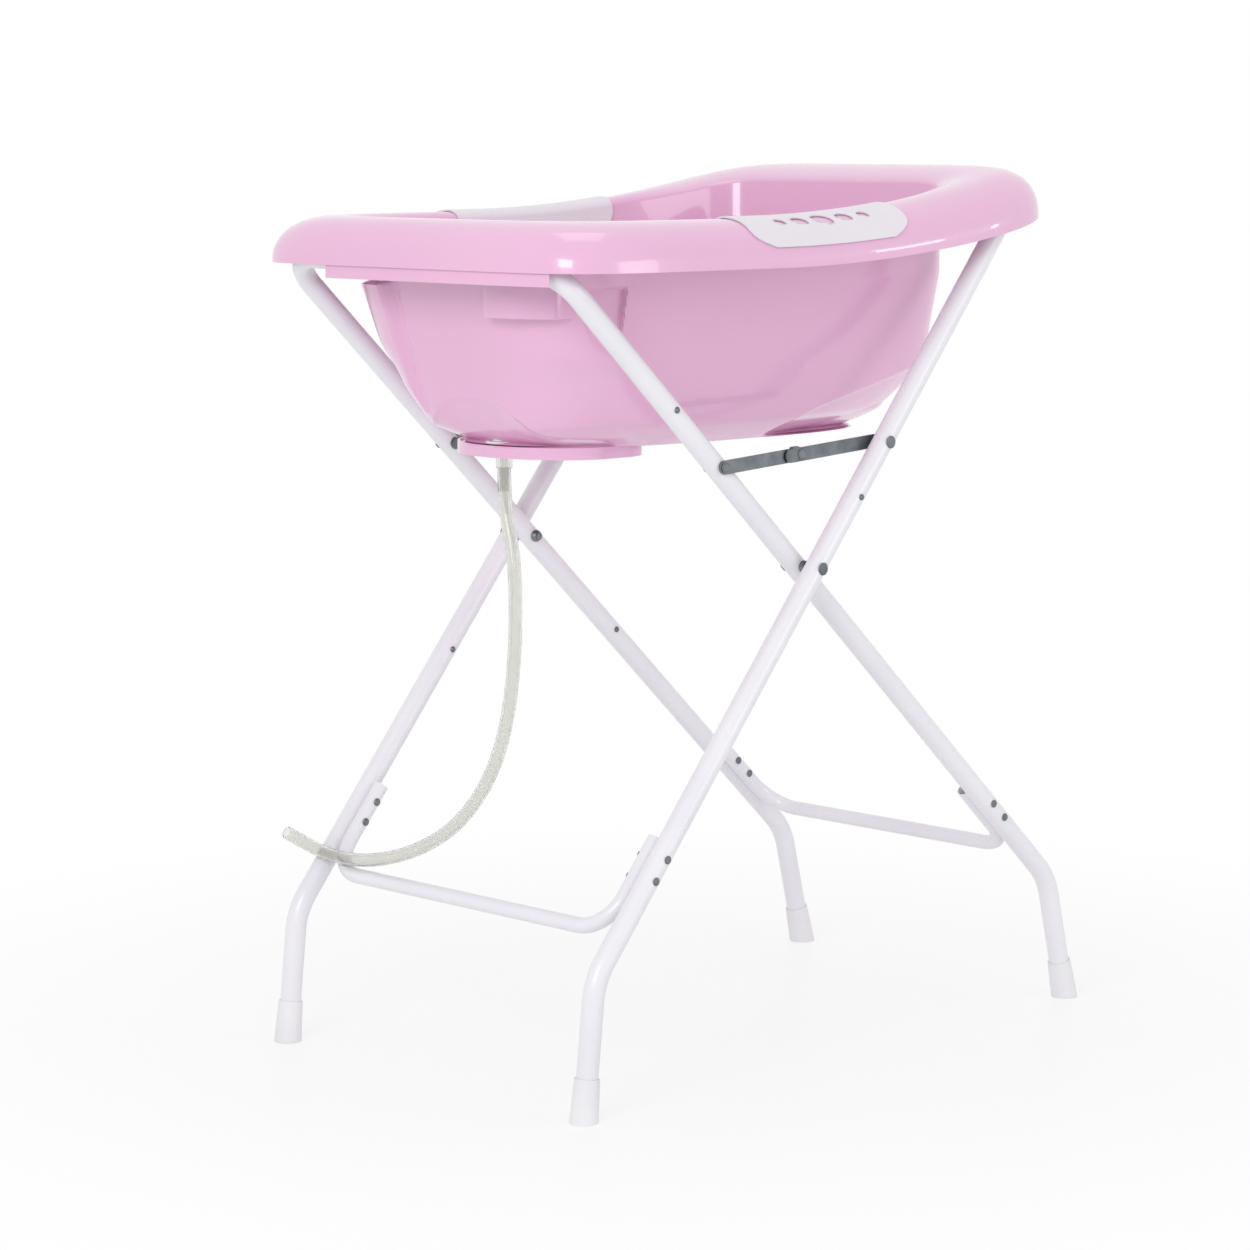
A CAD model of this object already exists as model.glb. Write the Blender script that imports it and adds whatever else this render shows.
"""A moulded bathing tub on a folding stand: looks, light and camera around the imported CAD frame."""
import math

import bmesh
import bpy
import numpy as np
from mathutils import Matrix, Vector


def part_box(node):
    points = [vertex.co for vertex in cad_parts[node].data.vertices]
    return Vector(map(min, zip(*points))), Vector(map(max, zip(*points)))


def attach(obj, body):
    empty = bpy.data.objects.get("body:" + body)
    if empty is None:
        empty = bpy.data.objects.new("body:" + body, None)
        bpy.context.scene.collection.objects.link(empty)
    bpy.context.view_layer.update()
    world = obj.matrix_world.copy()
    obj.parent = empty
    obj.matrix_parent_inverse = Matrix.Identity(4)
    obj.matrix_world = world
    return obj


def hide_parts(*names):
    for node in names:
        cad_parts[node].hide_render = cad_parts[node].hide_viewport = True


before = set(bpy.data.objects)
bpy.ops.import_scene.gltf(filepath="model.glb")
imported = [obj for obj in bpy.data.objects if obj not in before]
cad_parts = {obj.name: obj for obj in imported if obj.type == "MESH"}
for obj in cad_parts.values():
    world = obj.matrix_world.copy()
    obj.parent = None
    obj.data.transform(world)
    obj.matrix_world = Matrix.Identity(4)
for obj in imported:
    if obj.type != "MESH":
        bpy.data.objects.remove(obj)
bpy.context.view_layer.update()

MM = 0.001
PIVOT_X = (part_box("pivot_bolt_near")[0].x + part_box("pivot_bolt_near")[1].x) / 2 / MM

scene = bpy.context.scene
scene.view_settings.view_transform = "Standard"


# ---------------------------------------------------------------- camera
CAMERA_PLACE = (-2.8286, -2.8714, 0.9634)
CAMERA_TURN = -43.576
CAMERA_RISE = 7.511
CAMERA_LENS = 109.66


def add_camera():
    turn, climb = math.radians(CAMERA_TURN), math.radians(CAMERA_RISE)
    right = Vector((math.cos(turn), math.sin(turn), 0))
    back = Vector((math.sin(turn) * math.cos(climb), -math.cos(turn) * math.cos(climb),
                   math.sin(climb)))
    up = back.cross(right)
    data = bpy.data.cameras.new("camera")
    data.lens = CAMERA_LENS
    data.sensor_width = 36
    data.clip_end = 60
    camera = bpy.data.objects.new("camera", data)
    camera.matrix_world = Matrix.Translation(CAMERA_PLACE) @ Matrix(
        (right, up, back)).transposed().to_4x4()
    scene.collection.objects.link(camera)
    scene.camera = camera


# ---------------------------------------------------------------- materials
def srgb(red, green, blue):
    """A colour given as it looks, 0 to 255, turned into the linear values that shaders use."""
    out = []
    for value in (red, green, blue):
        value = value / 255
        out.append(value / 12.92 if value <= 0.04045 else ((value + 0.055) / 1.055) ** 2.4)
    return (*out, 1.0)


def new_material(name):
    material = bpy.data.materials.new(name)
    material.use_nodes = True
    nodes = material.node_tree.nodes
    return material, nodes, material.node_tree.links, nodes["Principled BSDF"]


def noise(nodes, links, scale, detail=2.0, stretch=(1, 1, 1)):
    """A noise texture in the object's own metres."""
    place = nodes.new("ShaderNodeTexCoord")
    mapping = nodes.new("ShaderNodeMapping")
    mapping.inputs["Scale"].default_value = stretch
    links.new(place.outputs["Object"], mapping.inputs["Vector"])
    texture = nodes.new("ShaderNodeTexNoise")
    texture.inputs["Scale"].default_value = scale
    texture.inputs["Detail"].default_value = detail
    links.new(mapping.outputs["Vector"], texture.inputs["Vector"])
    return texture


def vary_colour(nodes, links, shader, texture, dark, light):
    ramp = nodes.new("ShaderNodeValToRGB")
    ramp.color_ramp.elements[0].position = 0.3
    ramp.color_ramp.elements[0].color = dark
    ramp.color_ramp.elements[1].position = 0.7
    ramp.color_ramp.elements[1].color = light
    links.new(texture.outputs["Fac"], ramp.inputs["Fac"])
    links.new(ramp.outputs["Color"], shader.inputs["Base Color"])


def vary_roughness(nodes, links, shader, texture, low, high):
    span = nodes.new("ShaderNodeMapRange")
    span.inputs["To Min"].default_value = low
    span.inputs["To Max"].default_value = high
    links.new(texture.outputs["Fac"], span.inputs["Value"])
    links.new(span.outputs["Result"], shader.inputs["Roughness"])


def add_bump(nodes, links, shader, texture, strength, distance):
    bump = nodes.new("ShaderNodeBump")
    bump.inputs["Strength"].default_value = strength
    bump.inputs["Distance"].default_value = distance
    links.new(texture.outputs["Fac"], bump.inputs["Height"])
    links.new(bump.outputs["Normal"], shader.inputs["Normal"])


def surface(name, dark, light, rough, patch, grain, strength, distance, stretch=(1, 1, 1), **extra):
    """A material with slow colour and gloss changes (patch) and a fine bump (grain)."""
    material, nodes, links, shader = new_material(name)
    slow = noise(nodes, links, patch, 3.0)
    vary_colour(nodes, links, shader, slow, dark, light)
    vary_roughness(nodes, links, shader, slow, *rough)
    add_bump(nodes, links, shader, noise(nodes, links, grain, 2.0, stretch), strength, distance)
    for socket, value in extra.items():
        shader.inputs[socket.replace("_", " ")].default_value = value
    return material


def clear_vinyl():
    material, nodes, links, shader = new_material("clear_vinyl")
    slow = noise(nodes, links, 30.0)
    vary_roughness(nodes, links, shader, slow, 0.08, 0.2)
    add_bump(nodes, links, shader, slow, 0.15, 0.0006)
    shader.inputs["Base Color"].default_value = srgb(240, 240, 236)
    shader.inputs["Transmission Weight"].default_value = 0.92
    shader.inputs["IOR"].default_value = 1.42
    return material


MATERIALS = {
    "tub_plastic": surface("tub_plastic", srgb(228, 176, 211), srgb(231, 181, 214), (0.2, 0.27),
                           4.0, 900.0, 0.04, 0.0001, Coat_Weight=0.7, Coat_Roughness=0.02),
    "grip_plastic": surface("grip_plastic", srgb(228, 222, 230), srgb(232, 226, 233), (0.3, 0.38),
                            9.0, 1400.0, 0.1, 0.0002),
    "drain_plastic": surface("drain_plastic", srgb(232, 231, 233), srgb(238, 237, 238), (0.3, 0.4),
                             12.0, 1400.0, 0.1, 0.0002),
    "cap_plastic": surface("cap_plastic", srgb(230, 229, 233), srgb(238, 237, 240), (0.38, 0.5),
                           14.0, 1400.0, 0.15, 0.0002),
    "white_tube": surface("white_tube", srgb(232, 231, 237), srgb(238, 237, 242), (0.26, 0.34),
                          8.0, 420.0, 0.05, 0.0001, Coat_Weight=0.15, Coat_Roughness=0.12),
    "zinc": surface("zinc", srgb(104, 109, 113), srgb(128, 133, 137), (0.3, 0.44),
                    60.0, 260.0, 0.2, 0.0002, (1, 1, 9), Metallic=0.9),
    "clear_vinyl": clear_vinyl(),
}


def slot_of(name):
    """The record's material slot of a CAD node."""
    if name == "tub_shell":
        return "tub_plastic"
    if name.startswith("grip"):
        return "grip_plastic"
    if name in ("drain_fitting", "drain_nut", "drain_plug"):
        return "drain_plastic"
    if name in ("drain_hose", "hose_connector"):
        return "clear_vinyl"
    if "foot_cap" in name:
        return "cap_plastic"
    if "tube" in name or "leg" in name or "stretcher" in name:
        return "white_tube"
    return "zinc"


def dress(piece, slot):
    if not piece.material_slots:
        piece.data.materials.append(None)
    for place in piece.material_slots:
        place.material = MATERIALS[slot]


def new_mesh(name, points, faces, slot, body, smooth_below=35):
    """A mesh from points in millimetres, with X counted from the pivot line."""
    mesh = bpy.data.meshes.new(name)
    places = [((x + PIVOT_X) * MM, y * MM, z * MM) for x, y, z in points]
    mesh.from_pydata(places, [], faces)
    made = bmesh.new()
    made.from_mesh(mesh)
    bmesh.ops.recalc_face_normals(made, faces=made.faces)
    made.to_mesh(mesh)
    made.free()
    mesh.shade_smooth()
    mesh.set_sharp_from_angle(angle=math.radians(smooth_below))
    piece = bpy.data.objects.new(name, mesh)
    scene.collection.objects.link(piece)
    dress(piece, slot)
    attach(piece, body)
    return piece


# ---------------------------------------------------------------- drain hose
HOSE_ROUTE = [
    (-216, 0, 617), (-216, 0, 575), (-220, -18, 535), (-225, -27, 480), (-231, -31, 420),
    (-238, -28, 362), (-246, -16, 312), (-253, 8, 272), (-259, 42, 240), (-266, 86, 216),
    (-273, 134, 201), (-279, 182, 195.5), (-283, 228, 201), (-285, 272, 213),
]
HOSE_OD, HOSE_ID = 14.0, 10.0
HOSE_SIDES = 32


def smooth_line(route):
    """Points along the route's smooth curve, as Blender's own NURBS spline gives them."""
    data = bpy.data.curves.new("route", "CURVE")
    data.dimensions = "3D"
    data.resolution_u = 10
    spline = data.splines.new("NURBS")
    spline.points.add(len(route) - 1)
    for point, (x, y, z) in zip(spline.points, route):
        point.co = ((x + PIVOT_X) * MM, y * MM, z * MM, 1)
    spline.order_u = 3
    spline.use_endpoint_u = True
    holder = bpy.data.objects.new("route", data)
    scene.collection.objects.link(holder)
    bpy.context.view_layer.update()
    mesh = bpy.data.meshes.new_from_object(holder)
    line = [Vector(vertex.co) for vertex in mesh.vertices]
    bpy.data.objects.remove(holder)
    return line


def add_hose():
    """The hose as a hollow tube, bare at its far end."""
    line = smooth_line(HOSE_ROUTE)
    side = Vector((0, 1, 0))
    points, faces = [], []
    last = len(line) - 1
    for index, place in enumerate(line):
        ahead = (line[min(index + 1, last)] - line[max(index - 1, 0)]).normalized()
        side = (side - ahead * side.dot(ahead)).normalized()
        third = ahead.cross(side)
        for radius in (HOSE_OD / 2, HOSE_ID / 2):
            for step in range(HOSE_SIDES):
                turn = 2 * math.pi * step / HOSE_SIDES
                spot = place + (side * math.cos(turn) + third * math.sin(turn)) * radius * MM
                points.append((spot.x / MM - PIVOT_X, spot.y / MM, spot.z / MM))
    per_ring = HOSE_SIDES * 2
    for index in range(last):
        base = index * per_ring
        for step in range(HOSE_SIDES):
            ahead = (step + 1) % HOSE_SIDES
            faces.append((base + step, base + ahead,
                          base + per_ring + ahead, base + per_ring + step))
            inner = base + HOSE_SIDES
            faces.append((inner + ahead, inner + step,
                          inner + per_ring + step, inner + per_ring + ahead))
    for base in (0, last * per_ring):
        for step in range(HOSE_SIDES):
            ahead = (step + 1) % HOSE_SIDES
            faces.append((base + step, base + ahead, base + HOSE_SIDES + ahead,
                          base + HOSE_SIDES + step))
    hose = new_mesh("hose", points, faces, "clear_vinyl", "tub", 60)
    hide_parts("drain_hose")


# ---------------------------------------------------------------- the tub's moulded shell
# The wall's levels from the base up: the share of the height, then of the way out from the base
# to the shoulder at the -X end, the +X end and the sides, and the roundness of the two ends.
WALL_LEVELS = np.array((
    (0.00, 0.00, 0.00, 0.00, 2.6, 3.0),
    (0.07, 0.25, 0.50, 0.27, 3.0, 5.0),
    (0.15, 0.35, 0.83, 0.50, 3.5, 6.0),
    (0.45, 0.55, 0.94, 0.73, 4.3, 7.0),
    (0.63, 0.70, 0.97, 0.85, 5.0, 7.0),
    (1.00, 1.00, 1.00, 1.00, 5.0, 8.0),
))
LIP_ROUNDNESS = (8.0, 6.0)
BASE_REACH = (240.0, 245.0, 112.0)
SHOULDER_REACH = (286.0, 281.0, 178.0)
LIP_REACH = (352.0, 380.0, 258.0)
BASE_Z, SHOULDER_Z, LIP_Z = 640.0, 806.0, 822.0
LIP_RISE, RISE_START, RIM_RISE, RIM_EXTRA = 50.0, -80.0, 48.0, 12.0
RIM_CREST, RIM_ROLL, CREST_POWER = 0.35, 9.0, 0.9
FLARE = 0.2         # how far the inside wall leans out below the rim, as a share of the way out
WALL = 2.4
DRAIN_X, DRAIN_HOLE = -216.0, 12.3
AROUND = 960
WALL_STEPS = 76


def smooth_table(table, at):
    """The table's columns at the given values of its first column, on a curve without overshoot."""
    keys = table[:, 0]
    out = []
    for column in table.T[1:]:
        slope = np.diff(column) / np.diff(keys)
        bend = np.zeros(len(keys))
        for index in range(1, len(keys) - 1):
            before, after = slope[index - 1], slope[index]
            if before * after > 0:
                bend[index] = 2 * before * after / (before + after)
        bend[0], bend[-1] = slope[0], slope[-1]
        index = np.clip(np.searchsorted(keys, at, side="right") - 1, 0, len(keys) - 2)
        span = keys[index + 1] - keys[index]
        share = (at - keys[index]) / span
        out.append((1 + 2 * share) * (1 - share) ** 2 * column[index]
                   + share * (1 - share) ** 2 * span * bend[index]
                   + share ** 2 * (3 - 2 * share) * column[index + 1]
                   + share ** 2 * (share - 1) * span * bend[index + 1])
    return np.array(out).T


def blend(start, end, share):
    return start + (end - start) * share


def step_up(value, start, end):
    """0 before start, 1 after end, and smooth in between."""
    share = np.clip((value - start) / (end - start), 0, 1)
    return share * share * (3 - 2 * share)


ANGLES = np.linspace(0, 2 * np.pi, AROUND, endpoint=False)


def ring(reach, roundness, moved_out=0.0):
    """X and Y round the tub for reaches to -X, +X and the sides; moved_out may vary round it."""
    left, right, half = (value + moved_out for value in reach)
    along, across = np.cos(ANGLES), np.sin(ANGLES)
    power = np.where(along > 0, roundness[1], roundness[0])
    scale = (np.abs(along) ** power + np.abs(across) ** power) ** (-1 / power)
    return (right - left) / 2 + (right + left) / 2 * along * scale, half * across * scale


def line_height(points, x):
    """The height at X of a line through the points, eased at its corners."""
    table = np.array(points, float)
    return smooth_table(table, np.clip(x, table[0, 0], table[-1, 0]))[:, 0]


# a moulded line that starts high on the drain end, dips towards each side and runs out there
WAVE_LINE = ((0.0, 690.0), (34.0, 687.0), (62.0, 672.0), (82.0, 656.0), (108.0, 651.0),
             (136.0, 661.0), (152.0, 684.0), (163.0, 720.0))
# the line on each side that climbs towards the +X end
SIDE_LINE = ((30.0, 640.0), (52.0, 655.0), (80.0, 668.0), (125.0, 681.0), (180.0, 695.0),
             (232.0, 707.0))


# Below each line the wall steps in and then leans in: the step, the height it takes, the lean per
# mm of height, and the height at which the lean ends. Starts and ends are where a feature fades in.
WAVE_STEP, WAVE_STEP_HEIGHT, WAVE_LEAN, WAVE_LEAN_END = 1.5, 4, 0.42, 45
WAVE_START, WAVE_END = 120, 175
SIDE_STEP, SIDE_STEP_HEIGHT, SIDE_LEAN, SIDE_LEAN_END = 2.0, 3, 0.5, 40
SIDE_START, SIDE_END = 30, 55
# a shallow panel on the drain end's two corners
PANEL_DEPTH = 6.5
PANEL_X, PANEL_Z, PANEL_SIDE = (205, 208), (735, 780), (148, 158)
# a fin on the far corner of the drain end, whose edge leans, with two thin beads beside it
FIN_X, FIN_Z = (150, 215), (662, 700)
FIN_EDGE_LOW, FIN_EDGE_HIGH, FIN_EDGE_FOOT = 84.0, 96.0, 660
FIN_BEFORE, FIN_AFTER = 2.5, 1.5
FIN_OUT_LOW, FIN_OUT_HIGH, FIN_OUT_FOOT = 5.0, 14.0, 670
BEAD_X, BEAD_Z = (200, 230), (664, 676)
BEAD_OUT, BEAD_WIDTH, BEAD_PLACES = 1.4, 1.3, (-6.0, -11.0)


def relief(x, y, z):
    """How far the outer face stands out from the plain wall, in mm."""
    out = np.zeros_like(x)
    side = np.abs(y)
    drain_end = step_up(-x, WAVE_START, WAVE_END)
    below_wave = line_height(WAVE_LINE, side) - z
    out -= drain_end * (step_up(below_wave, 0, WAVE_STEP_HEIGHT) * WAVE_STEP
                        + np.clip(below_wave, 0, WAVE_LEAN_END) * WAVE_LEAN)
    below_side = line_height(SIDE_LINE, x) - z
    mid_part = step_up(x, SIDE_START, SIDE_END)
    out -= mid_part * (step_up(below_side, 0, SIDE_STEP_HEIGHT) * SIDE_STEP
                       + np.clip(below_side, 0, SIDE_LEAN_END) * SIDE_LEAN)
    panel = step_up(-x, *PANEL_X) * step_up(z, *PANEL_Z) * step_up(side, *PANEL_SIDE)
    out -= panel * PANEL_DEPTH
    edge_share = np.clip((z - FIN_EDGE_FOOT) / (SHOULDER_Z - FIN_EDGE_FOOT), 0, 1)
    edge = blend(FIN_EDGE_LOW, FIN_EDGE_HIGH, edge_share)
    fin = step_up(-x, *FIN_X) * step_up(y, edge - FIN_BEFORE, edge + FIN_AFTER) * step_up(z, *FIN_Z)
    out_share = np.clip((z - FIN_OUT_FOOT) / (SHOULDER_Z - FIN_OUT_FOOT), 0, 1)
    out += fin * blend(FIN_OUT_LOW, FIN_OUT_HIGH, out_share)
    bead = step_up(-x, *BEAD_X) * step_up(z, *BEAD_Z)
    for middle in BEAD_PLACES:
        out += bead * BEAD_OUT * np.exp(-((y - edge - middle) / BEAD_WIDTH) ** 2)
    return out


def wall_ring(up, reach_share, roundness, inset):
    """A ring of the wall; inset is 0 for its outer face and the wall's thickness for its inner."""
    reach = [blend(low, high, share) - inset
             for low, high, share in zip(BASE_REACH, SHOULDER_REACH, reach_share)]
    height = blend(BASE_Z, SHOULDER_Z, up)
    x, y = ring(reach, roundness)
    fade = step_up(up, 0.0, 0.02) * (1 - step_up(up, 0.97, 1.0))
    x, y = ring(reach, roundness, relief(x, y, np.full_like(x, height)) * fade)
    floor = WALL * (1 - step_up(up, 0, 0.05)) if inset else 0.0
    return np.stack([x, y, np.full_like(x, height + floor)], 1)


def rise(x):
    """How much of the rim's rise towards the +X end is reached at X, from 0 at RISE_START."""
    share = np.clip((x - RISE_START) / (LIP_REACH[1] - RISE_START), 0, None)
    return share * share


def flare(x):
    """The wall's lean below the rim; there is none at the +X end, where the outer bar passes."""
    return FLARE * (1 - step_up(x, 110, 235))


def rim_section(degrees, lean):
    """A place on the rim's outer face, from the lip's edge (0) over the crest (90) to the wall (180).

    It gives the share of the way out to the lip, the share of the climb, and the roll down in mm.
    """
    turn = math.radians(degrees)
    out, up = math.cos(turn), math.sin(turn)
    if degrees <= 90:
        return RIM_CREST + (1 - RIM_CREST) * max(out, 0.0) ** CREST_POWER, up ** CREST_POWER, 0.0
    return lean + (RIM_CREST - lean) * (1 + out), 1.0, RIM_ROLL * (1 - up)


def rim_height(x, climb, roll):
    lifted = rise(x)
    return LIP_Z + LIP_RISE * lifted + (RIM_RISE + RIM_EXTRA * lifted) * climb - roll


def rim_ring(degrees, depth):
    """A ring of the rim at a place in its section; depth is 0 for the outer face, 1 for the inner."""
    turn = math.radians(degrees)
    out, up = math.cos(turn), math.sin(turn)
    lean = flare(ring(SHOULDER_REACH, WALL_LEVELS[-1][4:])[0])
    share, climb, roll = rim_section(degrees, lean)
    inset = WALL * depth * out if degrees <= 90 else WALL * (1 - depth) * -out
    reach = [blend(low, high, share) - inset for low, high in zip(SHOULDER_REACH, LIP_REACH)]
    top = WALL_LEVELS[-1]
    x, y = ring(reach, (blend(top[4], LIP_ROUNDNESS[0], share),
                        blend(top[5], LIP_ROUNDNESS[1], share)))
    sink = WALL * depth * up
    return np.stack([x, y, rim_height(x, climb, roll) - sink], 1)


def floor_rings(edge, height, shares):
    """Flat rings from the drain hole out to the base's edge."""
    hole = np.stack([DRAIN_X + DRAIN_HOLE * np.cos(ANGLES), DRAIN_HOLE * np.sin(ANGLES)], 1)
    rings = []
    for share in shares:
        flat = blend(hole, edge[:, :2], share)
        rings.append(np.column_stack([flat, np.full(AROUND, height)]))
    return rings


def tub_rings():
    """The tub's closed rings: floor, outside wall, under the rim, over it, inside wall, floor."""
    levels = np.concatenate([np.linspace(0, 0.2, WALL_STEPS // 3),
                             np.linspace(0.2, 1, WALL_STEPS - WALL_STEPS // 3)[1:]])
    shape = smooth_table(WALL_LEVELS, levels)
    outside = [wall_ring(up, row[:3], row[3:], 0.0) for up, row in zip(levels, shape)]
    inside = [wall_ring(up, row[:3], row[3:], WALL) for up, row in zip(levels, shape)]
    angles = list(range(0, 91, 6)) + list(range(100, 181, 8))
    under = [rim_ring(angle, 1) for angle in reversed(angles)]
    over = [rim_ring(angle, 0) for angle in angles]
    shares = (0, 0.1, 0.3, 0.5, 0.7, 0.85, 0.95)
    low = floor_rings(outside[0], BASE_Z, shares)
    high = floor_rings(inside[0], BASE_Z + WALL, shares)
    return low + outside + under[1:] + over + inside[::-1][1:] + high[::-1]


def ring_faces(count):
    """The faces that join each closed ring to the next, and the last to the first."""
    faces = []
    for row in range(count):
        here, there = row * AROUND, (row + 1) % count * AROUND
        for step in range(AROUND):
            ahead = (step + 1) % AROUND
            faces.append((here + step, here + ahead, there + ahead, there + step))
    return faces


def add_tub():
    rings = tub_rings()
    points = np.concatenate(rings)
    tub = new_mesh("tub_body", points.tolist(), ring_faces(len(rings)), "tub_plastic", "tub", 50)
    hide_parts("tub_shell")


PLATE_BEVEL, PLATE_BEVEL_STEPS = 0.8, 2


def plate(name, outline, low, high, axis="y"):
    """A solid with the given outline in XZ (or XY) from one side to the other."""
    count = len(outline)
    points = []
    for level in (low, high):
        for first, second in outline:
            points.append((first, level, second) if axis == "y" else (first, second, level))
    faces = [tuple(range(count)), tuple(range(count, 2 * count))]
    for index in range(count):
        ahead = (index + 1) % count
        faces.append((index, ahead, count + ahead, count + index))
    piece = new_mesh(name, points, faces, "tub_plastic", "tub")
    edge = piece.modifiers.new("edge", "BEVEL")
    edge.width = PLATE_BEVEL * MM
    edge.segments = PLATE_BEVEL_STEPS
    edge.limit_method = "ANGLE"


RIB_SPACING, RIB_THICKNESS = 110.0, 4.0
TUBE_R, SEAT_CLEARANCE, RIB_SEAT = 11.0, 0.3, 0.4
RIB_ANGLES = (180, 150, 120, 90, 72, 54, 36, 18)
NOTCH_STEPS = 4


def rim_rib(name, sign, bar, y):
    """A rib under the rim, notched to sit on a top bar whose middle is at (X, Z)."""
    shoulder = SHOULDER_REACH[0] if sign < 0 else SHOULDER_REACH[1]
    lip = LIP_REACH[0] if sign < 0 else LIP_REACH[1]
    bottom = bar[1] + TUBE_R * RIB_SEAT
    outline = [(sign * (shoulder - WALL / 2), bottom)]
    for degrees in RIB_ANGLES:
        share, climb, roll = rim_section(degrees, 0.0)
        x = sign * (blend(shoulder, lip, share) - WALL / 2)
        z = rim_height(x, climb, roll) - WALL
        if z > bottom:
            outline.append((x, z))
    outline.append((sign * (lip - WALL / 2), max(bottom, LIP_Z + LIP_RISE * rise(sign * lip))))
    reach = TUBE_R + SEAT_CLEARANCE
    half = math.acos(TUBE_R * RIB_SEAT / reach)
    for step in range(2 * NOTCH_STEPS + 1):
        turn = half * (1 - step / NOTCH_STEPS)
        outline.append((bar[0] + sign * reach * math.sin(turn), bar[1] + reach * math.cos(turn)))
    plate(name, outline, y - RIB_THICKNESS / 2, y + RIB_THICKNESS / 2)


def rim_ribs():
    for frame_name, sign in (("inner", -1), ("outer", 1)):
        low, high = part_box(f"{frame_name}_top_tube")
        side = low.x / MM + TUBE_R if sign < 0 else high.x / MM - TUBE_R
        bar = (side - PIVOT_X, high.z / MM - TUBE_R)
        for count, y in (("near", -RIB_SPACING), ("middle", 0.0), ("far", RIB_SPACING)):
            rim_rib(f"rim_rib_{frame_name}_{count}", sign, bar, y)


SKIRT_DROP, SKIRT_LENGTH, SKIRT_HALF = 11.0, 150.0, 98.0


def foot_skirt():
    """The low ring under the drain end."""
    walls = []
    for inset in (0.0, WALL):
        x, y = ring((BASE_REACH[0] - inset, SKIRT_LENGTH - BASE_REACH[0] - inset,
                     SKIRT_HALF - inset), (2.0, 4.0))
        for height in (BASE_Z + WALL / 2, BASE_Z - SKIRT_DROP):
            walls.append(np.stack([x, y, np.full_like(x, height)], 1))
    loops = [walls[0], walls[1], walls[3], walls[2]]
    new_mesh("tub_foot_skirt", np.concatenate(loops).tolist(), ring_faces(len(loops)),
             "tub_plastic", "tub")


POCKET_CENTRE, POCKET_HALF, POCKET_OUT, POCKET_DROP = -100.0, 44.0, 13.0, 32.0
POCKET_SQUARENESS, POCKET_STEPS = 0.45, 24
# past its middle the pocket falls back with the tub's corner, by this much per mm
POCKET_FALL = 0.42
POCKET_BACK, POCKET_TOP = ((-240.0, 1), (-236.0, -1)), 4.0


def side_pocket():
    """The moulded block under the rim at the drain end, with rounded sides."""
    outline = []
    for step in range(POCKET_STEPS + 1):
        turn = math.pi * step / POCKET_STEPS
        along = math.cos(turn)
        y = POCKET_CENTRE - POCKET_HALF * math.copysign(abs(along) ** POCKET_SQUARENESS, along)
        out = POCKET_OUT * math.sin(turn) ** POCKET_SQUARENESS
        fall = max(0.0, POCKET_CENTRE - y) * POCKET_FALL
        outline.append((-SHOULDER_REACH[0] - out + fall, y))
    outline += [(x, POCKET_CENTRE + sign * POCKET_HALF) for x, sign in POCKET_BACK]
    plate("tub_pocket", outline, SHOULDER_Z - POCKET_DROP, SHOULDER_Z + POCKET_TOP, "z")


BAND_BACK, BAND_DROP, BAND_THICKNESS = 2.9, 13.0, 2.2
BAND_NEAR, BAND_FAR = -205.0, 120.0


def rim_band():
    """The short wall inside the rim's lip that hides the inner top bar at the drain end."""
    loops = [ring([value - BAND_BACK - inset for value in LIP_REACH], LIP_ROUNDNESS)
             for inset in (0.0, BAND_THICKNESS)]
    across = loops[0][1]
    keep = [index for index in range(AROUND)
            if loops[0][0][index] < 0 and BAND_NEAR < across[index] < BAND_FAR]
    points, faces = [], []
    for index in keep:
        for x, y in loops:
            points.append((x[index], y[index], LIP_Z + BAND_DROP))
            points.append((x[index], y[index], LIP_Z - BAND_DROP))
    for row in range(len(keep) - 1):
        here, there = row * 4, row * 4 + 4
        for first, second in ((0, 1), (1, 3), (3, 2), (2, 0)):
            faces.append((here + first, here + second, there + second, there + first))
    faces.append((0, 1, 3, 2))
    last = (len(keep) - 1) * 4
    faces.append((last, last + 1, last + 3, last + 2))
    new_mesh("tub_rim_band", points, faces, "tub_plastic", "tub")


# ---------------------------------------------------------------- hand grips
GRIP_MIDDLE, GRIP_HALF, GRIP_LIFT, GRIP_PLATE = 2.0, 112.0, 0.5, 1.8
GRIP_ANGLES = tuple(range(22, 181, 6))
GRIP_FLAP = (6.0, 12.0, 18.0)
GRIP_COLUMNS = 48
# the plate's corners are pulled in over these many rows, the top ones by a smaller share
GRIP_CORNER, LOW_CORNER_ROWS, TOP_CORNER_ROWS = 26.0, 4, 3
CORNER_POWER, TOP_CORNER_SHARE = 2.4, 0.4
LEAF_ANGLE, LEAF_LENGTH, LEAF_PITCH = 62, 26.0, 34.0
LEAF_CORNERS = 28
# outer leaves are smaller and closer together; each leaf leans and is fuller at one end
LEAF_SHRINK, LEAF_CROWD, LEAF_WIDTH, LEAF_LEAN, LEAF_FULLNESS = 0.22, 0.06, 0.36, 0.35, 0.25
CUT_BELOW, CUT_ABOVE = -8.0, 12.0


def rim_point(x, degrees, lift, flap=0.0):
    """Y and Z on the rim at a long side's middle, lifted off its face, then down the inside wall."""
    turn = math.radians(degrees)
    out, up = math.cos(turn), math.sin(turn)
    share, climb, roll = rim_section(degrees, FLARE)
    inset = 0.0 if degrees <= 90 else WALL * -out
    y = blend(SHOULDER_REACH[2], LIP_REACH[2], share) - inset + out * lift
    z = rim_height(x, climb, roll) + up * lift
    slope = FLARE * (LIP_REACH[2] - SHOULDER_REACH[2]) / (z - SHOULDER_Z)
    return y - slope * flap, z - flap


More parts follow.
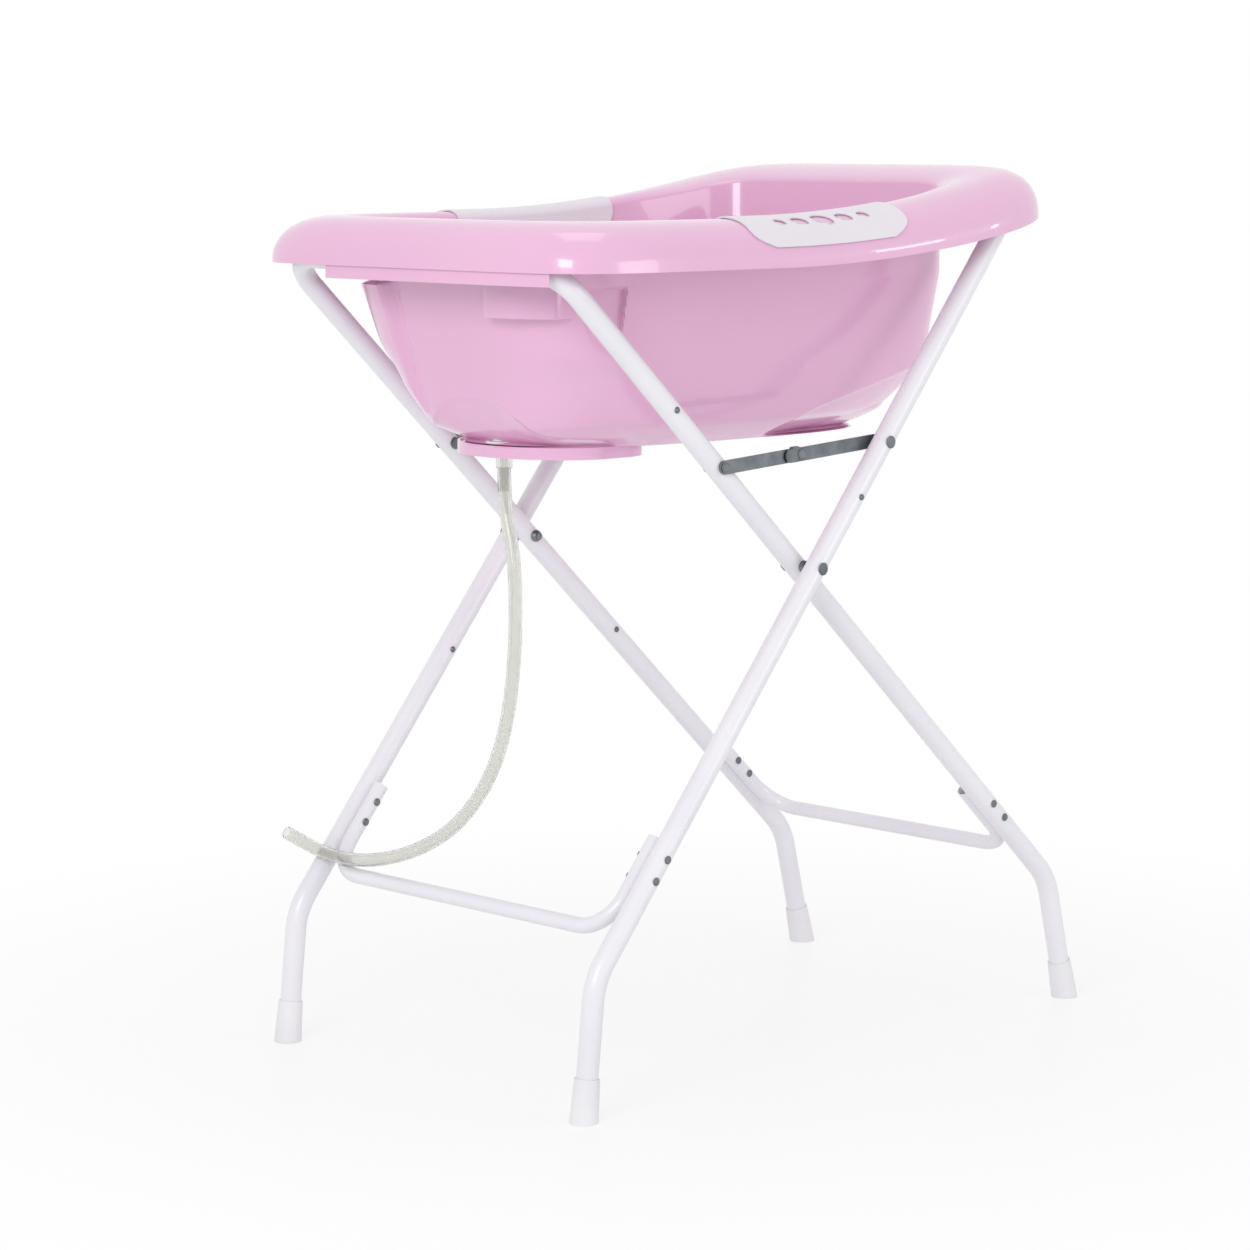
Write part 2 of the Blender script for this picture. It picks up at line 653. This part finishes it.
def grip_shape(side):
    """The grip's points and faces: a plate wrapped from the rim's face over to its inside."""
    places = [(degrees, 0.0) for degrees in GRIP_ANGLES] + [(180, flap) for flap in GRIP_FLAP]
    rows, columns = len(places), GRIP_COLUMNS
    points = []
    for lift in (GRIP_LIFT, GRIP_LIFT + GRIP_PLATE):
        for row, (degrees, flap) in enumerate(places):
            low = max(0.0, 1 - row / LOW_CORNER_ROWS)
            top = max(0.0, 1 - (rows - 1 - row) / TOP_CORNER_ROWS)
            pull = GRIP_CORNER * (low ** CORNER_POWER + TOP_CORNER_SHARE * top ** CORNER_POWER)
            for column in range(columns + 1):
                x = GRIP_MIDDLE + blend(-1, 1, column / columns) * (GRIP_HALF - pull)
                y, z = rim_point(x, degrees, lift, flap)
                points.append((x, y * side, z))
    per_row = columns + 1
    layer = rows * per_row
    faces = []
    for row in range(rows - 1):
        for column in range(columns):
            here = row * per_row + column
            faces.append((here, here + 1, here + per_row + 1, here + per_row))
            faces.append(tuple(layer + index for index in reversed(faces[-1])))
    border = (list(range(columns))
              + [row * per_row + columns for row in range(rows - 1)]
              + [(rows - 1) * per_row + column for column in range(columns, 0, -1)]
              + [row * per_row for row in range(rows - 1, 0, -1)])
    for index, here in enumerate(border):
        ahead = border[(index + 1) % len(border)]
        faces.append((here, here + layer, ahead + layer, ahead))
    return points, faces


def leaf_cutter(side):
    """Five leaf-shaped prisms through the grip's outer face."""
    points, faces = [], []
    corners = LEAF_CORNERS
    turn = math.radians(LEAF_ANGLE)
    for place in (-2, -1, 0, 1, 2):
        scale = 1 - LEAF_SHRINK * abs(place)
        x = GRIP_MIDDLE + place * LEAF_PITCH * (1 - LEAF_CROWD * abs(place))
        y, z = rim_point(x, LEAF_ANGLE, 0)
        start = len(points)
        for reach in (CUT_BELOW, CUT_ABOVE):
            for corner in range(corners):
                angle = 2 * math.pi * corner / corners
                along = math.cos(angle) * LEAF_LENGTH * scale / 2
                across = math.sin(angle) * LEAF_LENGTH * scale * LEAF_WIDTH
                along += across * LEAF_LEAN
                across *= 1 + LEAF_FULLNESS * math.cos(angle)
                points.append((x + along,
                               (y + reach * math.cos(turn) + across * math.sin(turn)) * side,
                               z + reach * math.sin(turn) - across * math.cos(turn)))
        low = list(range(start, start + corners))
        high = list(range(start + corners, start + 2 * corners))
        faces += [tuple(low), tuple(high)]
        for corner in range(corners):
            ahead = (corner + 1) % corners
            faces.append((low[corner], low[ahead], high[ahead], high[corner]))
    return points, faces


def add_grip(name, side):
    """A grip with its leaf windows cut through; side is -1 for the near long side, 1 for the far."""
    grip = new_mesh(f"hand_{name}", *grip_shape(side), "grip_plastic", "tub", 40)
    cutter = new_mesh(f"leaves_{name}", *leaf_cutter(side), "grip_plastic", "tub", 40)
    cut = grip.modifiers.new("leaves", "BOOLEAN")
    cut.operation = "DIFFERENCE"
    cut.solver = "EXACT"
    cut.object = cutter
    bpy.context.view_layer.update()
    evaluated = grip.evaluated_get(bpy.context.evaluated_depsgraph_get())
    cut_mesh = bpy.data.meshes.new_from_object(evaluated)
    grip.modifiers.clear()
    grip.data = cut_mesh
    bpy.data.objects.remove(cutter)
    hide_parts(name)


# ---------------------------------------------------------------- stage, light and finish
def add_light(name, place, aim, width, height, power):
    data = bpy.data.lights.new(name, "AREA")
    data.shape = "RECTANGLE"
    data.size, data.size_y = width, height
    data.energy = power
    lamp = bpy.data.objects.new(name, data)
    lamp.location = place
    lamp.rotation_euler = (Vector(aim) - Vector(place)).to_track_quat("-Z", "Y").to_euler()
    scene.collection.objects.link(lamp)


def seen_directly(nodes, links):
    """1 for camera, mirror and glass rays, which see the backdrop as plain white."""
    path = nodes.new("ShaderNodeLightPath")
    first = nodes.new("ShaderNodeMath")
    first.operation = "MAXIMUM"
    links.new(path.outputs["Is Camera Ray"], first.inputs[0])
    links.new(path.outputs["Is Glossy Ray"], first.inputs[1])
    second = nodes.new("ShaderNodeMath")
    second.operation = "MAXIMUM"
    links.new(first.outputs[0], second.inputs[0])
    links.new(path.outputs["Is Transmission Ray"], second.inputs[1])
    return second.outputs[0]


def add_world(strength):
    world = bpy.data.worlds.new("studio")
    world.use_nodes = True
    nodes, links = world.node_tree.nodes, world.node_tree.links
    light = nodes["Background"]
    light.inputs["Color"].default_value = (1, 1, 1, 1)
    light.inputs["Strength"].default_value = strength
    white = nodes.new("ShaderNodeBackground")
    white.inputs["Color"].default_value = (1, 1, 1, 1)
    white.inputs["Strength"].default_value = 1.0
    mix = nodes.new("ShaderNodeMixShader")
    links.new(seen_directly(nodes, links), mix.inputs["Fac"])
    links.new(light.outputs[0], mix.inputs[1])
    links.new(white.outputs[0], mix.inputs[2])
    links.new(mix.outputs[0], nodes["World Output"].inputs["Surface"])
    scene.world = world


FLOOR_HALF, FLOOR_DROP = 9.0, 0.0005
FLOOR_GREY, FLOOR_ROUGHNESS = 0.9, 0.35
# the floor's glow, from its share near the object to full white, over these distances in metres
GLOW_NEAR, GLOW_START, GLOW_END = 0.7, 0.35, 1.3


def add_floor():
    """A pale floor that keeps the shadows near the object and fades to white further out."""
    mesh = bpy.data.meshes.new("floor")
    half = FLOOR_HALF
    mesh.from_pydata([(-half, -half, 0), (half, -half, 0), (half, half, 0), (-half, half, 0)], [],
                     [(0, 1, 2, 3)])
    floor = bpy.data.objects.new("floor", mesh)
    floor.location.z = -FLOOR_DROP
    scene.collection.objects.link(floor)
    material, nodes, links, shader = new_material("floor_white")
    shader.inputs["Base Color"].default_value = (FLOOR_GREY, FLOOR_GREY, FLOOR_GREY, 1)
    shader.inputs["Roughness"].default_value = FLOOR_ROUGHNESS
    grain = noise(nodes, links, 40.0)
    add_bump(nodes, links, shader, grain, 0.02, 0.0005)
    glow = nodes.new("ShaderNodeEmission")
    glow.inputs["Strength"].default_value = 1.0
    place = nodes.new("ShaderNodeTexCoord")
    length = nodes.new("ShaderNodeVectorMath")
    length.operation = "LENGTH"
    links.new(place.outputs["Object"], length.inputs[0])
    far = nodes.new("ShaderNodeMapRange")
    far.interpolation_type = "SMOOTHSTEP"
    far.inputs["From Min"].default_value = GLOW_START
    far.inputs["From Max"].default_value = GLOW_END
    far.inputs["To Min"].default_value = GLOW_NEAR
    links.new(length.outputs["Value"], far.inputs["Value"])
    share = nodes.new("ShaderNodeMath")
    share.operation = "MULTIPLY"
    links.new(far.outputs["Result"], share.inputs[0])
    links.new(seen_directly(nodes, links), share.inputs[1])
    mix = nodes.new("ShaderNodeMixShader")
    links.new(share.outputs[0], mix.inputs["Fac"])
    links.new(shader.outputs[0], mix.inputs[1])
    links.new(glow.outputs[0], mix.inputs[2])
    links.new(mix.outputs[0], nodes["Material Output"].inputs["Surface"])
    mesh.materials.append(material)


WORLD_LIGHT = 0.72
# each lamp's place, the point it faces, its width and height in metres, and its power in watts
LAMPS = {
    "key": ((-3.0, -1.2, 1.9), (0, 0, 0.7), 1.4, 1.1, 34),
    "fill": ((1.2, -3.4, 1.3), (0, 0, 0.7), 1.4, 1.4, 16),
    "top": ((0.2, 0.3, 3.4), (0, 0, 0.8), 1.4, 1.4, 6),
    "window_left": ((1.98, -2.02, 1.22), (0.05, 0.19, 0.87), 0.12, 0.15, 0.5),
    "window_right": ((2.3, -1.72, 1.22), (0.17, 0.19, 0.87), 0.12, 0.15, 0.5),
}

for name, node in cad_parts.items():
    dress(node, slot_of(name))
add_camera()
add_hose()
add_tub()
rim_ribs()
foot_skirt()
side_pocket()
rim_band()
add_grip("grip_near", -1)
add_grip("grip_far", 1)
add_floor()
add_world(WORLD_LIGHT)
for name, lamp in LAMPS.items():
    add_light(name, *lamp)
